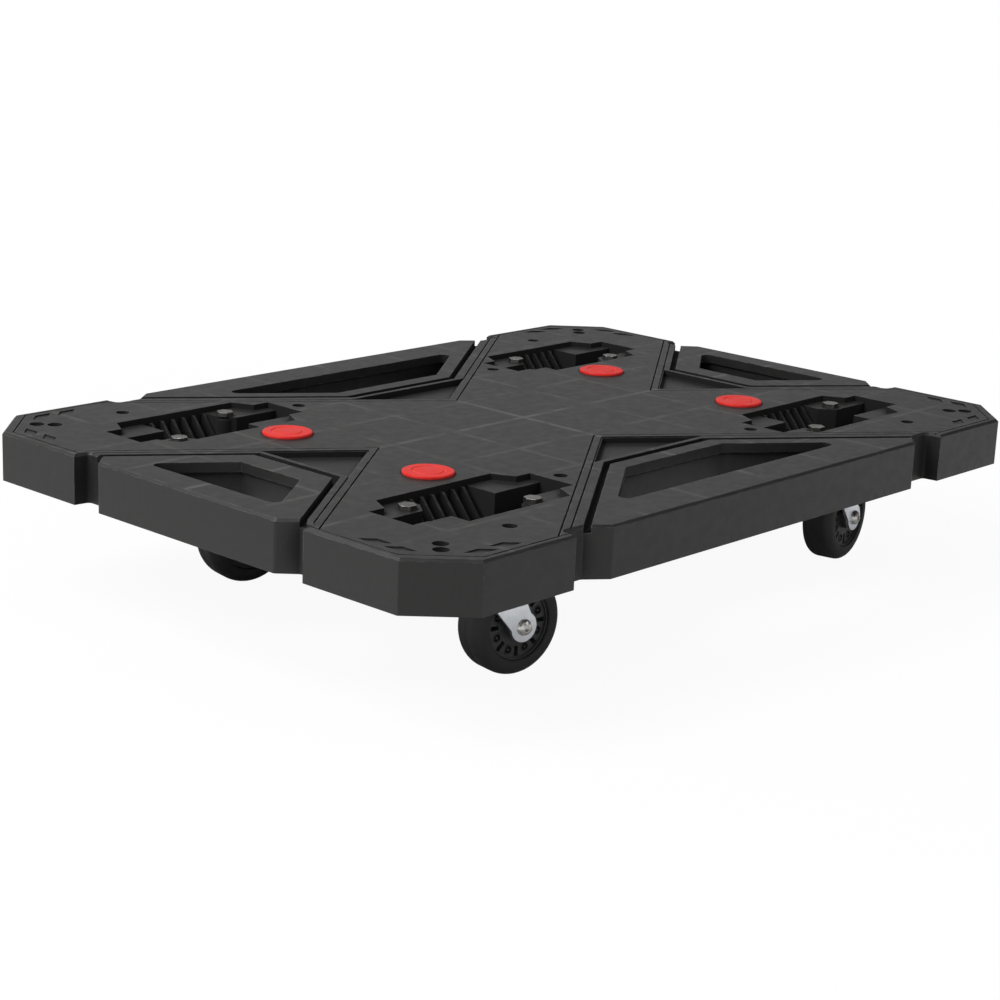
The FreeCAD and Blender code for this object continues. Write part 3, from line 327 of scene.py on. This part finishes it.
def web_level(radius, angle):
    """Half thickness of the wheel centre at a place on its face."""
    if radius <= BARREL_RADIUS:
        return BARREL_HALF - 0.0006 * max(0.0, (radius - BARREL_RADIUS + 0.0008) / 0.0008) ** 2
    if radius >= RIM_INNER:
        return RIM_HALF
    sector = 2 * math.pi / HUB_SPOKES
    off = (angle + sector / 2) % sector - sector / 2
    if SLOT_INNER < radius < SLOT_OUTER and abs(radius * math.sin(off)) < SLOT_HALF:
        return WEB_HALF - RECESS_DEPTH
    off = angle % sector - sector / 2
    across = radius * math.sin(off)
    along = radius * math.cos(off) - SOCKET_CIRCLE
    reach = math.hypot(across, along)
    if reach < SOCKET_PIN:
        return WEB_HALF + 0.0002
    if reach < SOCKET_RADIUS:
        return WEB_HALF - RECESS_DEPTH
    if reach < SOCKET_LIP:
        return WEB_HALF + 0.0005
    return WEB_HALF


def ring_mesh(name, rows, steps):
    """A closed ring of quads about Y, from rows of (radius, height) for each step round it."""
    mesh = bpy.data.meshes.new(name)
    points, faces = [], []
    count = len(rows(0.0))
    for step in range(steps):
        angle = 2 * math.pi * step / steps
        for radius, along in rows(angle):
            points.append((radius * math.cos(angle), along, radius * math.sin(angle)))
    for step in range(steps):
        here, after = step * count, (step + 1) % steps * count
        for index in range(count):
            following = (index + 1) % count
            faces.append((here + index, here + following, after + following, after + index))
    mesh.from_pydata(points, [], faces)
    work = bmesh.new()
    work.from_mesh(mesh)
    bmesh.ops.recalc_face_normals(work, faces=work.faces)
    work.to_mesh(mesh)
    work.free()
    mesh.shade_smooth()
    mesh.set_sharp_from_angle(angle=SHARP_ANGLE)
    return mesh


WEB_START, WEB_STEP, WEB_ROWS = 0.0134, 0.0003, 24
FACE_RADII = [BORE, 0.0080, 0.0084, BARREL_RADIUS, BARREL_RADIUS + 0.0002, 0.0120]
FACE_RADII += [WEB_START + WEB_STEP * count for count in range(WEB_ROWS)]
FACE_RADII += [SLOT_OUTER + 0.0002, RIM_INNER - 0.0001, RIM_INNER, RIM_OUTER - 0.0006]


def hub_rows(angle):
    front = [(radius, -web_level(radius, angle)) for radius in FACE_RADII]
    back = [(radius, web_level(radius, angle)) for radius in reversed(FACE_RADII)]
    edge = [(RIM_OUTER, -RIM_HALF + 0.0006), (RIM_OUTER, RIM_HALF - 0.0006)]
    return front + edge + back


TYRE_HALF = 0.0120
TYRE_RADIUS = 0.0325
SHOULDER = 0.0065


def tyre_rows(angle):
    """The tyre's section: flat sides, rounded shoulders and a fine flash line in the middle."""
    right = [(0.0225, TYRE_HALF - 0.0010), (0.0230, TYRE_HALF - 0.0001), (0.0245, TYRE_HALF)]
    for count in range(9):
        turn = math.radians(11.25 * count)
        out = TYRE_RADIUS - SHOULDER * (1 - math.sin(turn))
        right.append((out, TYRE_HALF - SHOULDER * (1 - math.cos(turn))))
    right += [(TYRE_RADIUS, 0.0030), (TYRE_RADIUS, 0.0003), (TYRE_RADIUS - 0.0002, 0.0001)]
    left = [(radius, -along) for radius, along in reversed(right)]
    return right + left


tyre_rubber, tree, shader = new_material("black_tyre_rubber", specular=0.35, sheen=0.1)
place = put(tree, "TexCoord").outputs["Object"]
reach = put(tree, "VectorMath", {0: place}, operation="LENGTH").outputs["Value"]
surface = use(tree, grain, Scale=900.0, Mottle=45.0)
scuffs = ease(tree, noise(tree, place, 160.0, 6.0, 0.7), 0.45, 0.7)
tread = ease(tree, reach, 0.0305, 0.0325)
colour = blend(tree, surface["Mottle"], tone(56), tone(64, 0.5))
colour = blend(tree, figure(tree, "MULTIPLY", scuffs, tread), colour, tone(62, 1.0))
tree.links.new(colour, shader.inputs["Base Color"])
tree.links.new(ease(tree, surface["Mottle"], 0.0, 1.0, 0.55, 0.7), shader.inputs["Roughness"])
relief(tree, shader, surface["Height"], 0.3, 0.0002, 0.0003)

hub_plastic, tree, shader = new_material("black_wheel_plastic", specular=0.45)
surface = use(tree, grain, Scale=1800.0, Mottle=80.0)
worn = use(tree, edge_wear, Radius=0.0003, Breaks=500.0)["Mask"]
colour = blend(tree, surface["Mottle"], tone(70), tone(78))
colour = blend(tree, figure(tree, "MULTIPLY", worn, 0.5), colour, tone(90))
tree.links.new(colour, shader.inputs["Base Color"])
tree.links.new(ease(tree, surface["Mottle"], 0.0, 1.0, 0.32, 0.45), shader.inputs["Roughness"])
relief(tree, shader, surface["Height"], 0.2, 0.0001, 0.0003)

hub_mesh = ring_mesh("wheel_centre", hub_rows, TURN_STEPS)
hub_mesh.materials.append(hub_plastic)
tyre_mesh = ring_mesh("tyre_ring", tyre_rows, TYRE_STEPS)
tyre_mesh.materials.append(tyre_rubber)
for number in CORNERS:
    low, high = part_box(f"tyre_{number}")
    axle = WHEEL_AXES[number]
    for mesh, title, node, finish in (
        (hub_mesh, "wheel_centre", "wheel_hub", "wheel_plastic"),
        (tyre_mesh, "rubber_tyre", "tyre", "tyre_rubber"),
    ):
        piece = bpy.data.objects.new(f"{title}_{number}", mesh)
        bpy.context.scene.collection.objects.link(piece)
        piece.location = (low + high) / 2
        piece.rotation_euler = (0, 0, math.atan2(-axle[0], axle[1]))
        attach(piece, f"caster_wheel_{number}")
        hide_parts(f"{node}_{number}")

# The studio: a pale floor that fades into a white surround, a large soft light from the left
# and a weaker one from the right, and the camera where the photograph was taken.
FLOOR_RADIUS = 6.0
FLOOR_STEPS = 96
WHITE_FLOOR = (0.35, 0.9)
MIRRORED_FLOOR = (0.30, 0.60)
DARK_SIDE = (0.61, -0.51, 0.61)
CAMERA_PLACE = (-1.1140, -0.98935, 0.4629)
CAMERA_LENS = 80.14

floor_paint, tree, shader = new_material("studio_floor", specular=0.1)
place = put(tree, "NewGeometry").outputs["Position"]
reach = put(tree, "VectorMath", {0: place}, operation="LENGTH").outputs["Value"]
path = put(tree, "LightPath")
seen = figure(tree, "MAXIMUM", path.outputs["Is Camera Ray"], path.outputs["Is Glossy Ray"])
seen = figure(tree, "MAXIMUM", seen, path.outputs["Is Transmission Ray"])
speckle = ease(tree, noise(tree, place, 40.0), 0.3, 0.7, 0.93, 0.95)
speckle = figure(tree, "MULTIPLY", speckle, ease(tree, seen, 0.0, 1.0, 0.35, 1.0))
shader.inputs["Roughness"].default_value = 0.9
shade = put(tree, "CombineColor", {"Red": speckle, "Green": speckle, "Blue": speckle})
tree.links.new(shade.outputs[0], shader.inputs["Base Color"])
glow = put(tree, "Emission", {"Color": (1, 1, 1, 1), "Strength": 1.0})
direct = path.outputs["Is Camera Ray"]
direct = figure(tree, "MULTIPLY", direct, ease(tree, reach, *WHITE_FLOOR, 0.94, 1.0))
mirrored = ease(tree, reach, *MIRRORED_FLOOR)
mirrored = figure(tree, "MULTIPLY", path.outputs["Is Glossy Ray"], mirrored)
fade = figure(tree, "MAXIMUM", direct, mirrored)
mixed = put(tree, "MixShader", {0: fade, 1: shader.outputs[0], 2: glow.outputs[0]})
tree.links.new(mixed.outputs[0], tree.nodes["Material Output"].inputs["Surface"])
floor_mesh = bpy.data.meshes.new("studio_floor")
work = bmesh.new()
bmesh.ops.create_circle(work, cap_ends=True, segments=FLOOR_STEPS, radius=FLOOR_RADIUS)
work.to_mesh(floor_mesh)
work.free()
floor_mesh.materials.append(floor_paint)
floor = bpy.data.objects.new("studio_floor", floor_mesh)
floor.location.z = -0.0002
bpy.context.scene.collection.objects.link(floor)
floor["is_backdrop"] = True

world = bpy.data.worlds.new("studio_surround")
bpy.context.scene.world = world
world.use_nodes = True
tree = world.node_tree
surround = tree.nodes["Background"]
path = put(tree, "LightPath")
seen = figure(tree, "MAXIMUM", path.outputs["Is Camera Ray"], path.outputs["Is Glossy Ray"])
seen = figure(tree, "MAXIMUM", seen, path.outputs["Is Transmission Ray"])
surround.inputs["Color"].default_value = (1, 1, 1, 1)

# Reflections find the surround darker to the upper right, so that far bevels stay dark
glossy = path.outputs["Is Glossy Ray"]
side = put(
    tree,
    "VectorMath",
    {0: put(tree, "TexCoord").outputs["Generated"], 1: DARK_SIDE},
    operation="DOT_PRODUCT",
)
mirrored = ease(tree, side.outputs["Value"], 0.35, 0.85, 0.57, 0.10)
plain = ease(tree, seen, 0.0, 1.0, 0.32, 1.0)
strength = put(tree, "Mix", {0: glossy, 2: plain, 3: mirrored}, data_type="FLOAT")
tree.links.new(strength.outputs[0], surround.inputs["Strength"])


def lamp(name, place, target, size, watts):
    light = bpy.data.lights.new(name, "AREA")
    light.shape = "DISK"
    light.size = size
    light.energy = watts
    made = bpy.data.objects.new(name, light)
    made.location = place
    made.rotation_euler = (Vector(target) - Vector(place)).to_track_quat("-Z", "Y").to_euler()
    bpy.context.scene.collection.objects.link(made)


lamp("left_softbox", (-1.6, 0.4, 1.7), (0, 0, 0.05), 1.4, 50.0)
lamp("right_softbox", (0.9, -1.8, 1.5), (0, 0, 0.05), 1.2, 8.0)

camera_data = bpy.data.cameras.new("photograph_view")
camera_data.sensor_width = 36.0
camera_data.lens = CAMERA_LENS
camera_data.clip_end = 50.0
camera = bpy.data.objects.new("photograph_view", camera_data)
RIGHT = Vector((0.6785, -0.7335, 0.0399)).normalized()
BACK = Vector((-0.7151, -0.6470, 0.2647)).normalized()
UP = BACK.cross(RIGHT)
turned = Matrix((RIGHT, UP, BACK)).transposed().to_4x4()
camera.matrix_world = Matrix.Translation(CAMERA_PLACE) @ turned
bpy.context.scene.collection.objects.link(camera)
bpy.context.scene.camera = camera
bpy.context.scene.view_settings.view_transform = "Standard"

low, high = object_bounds()
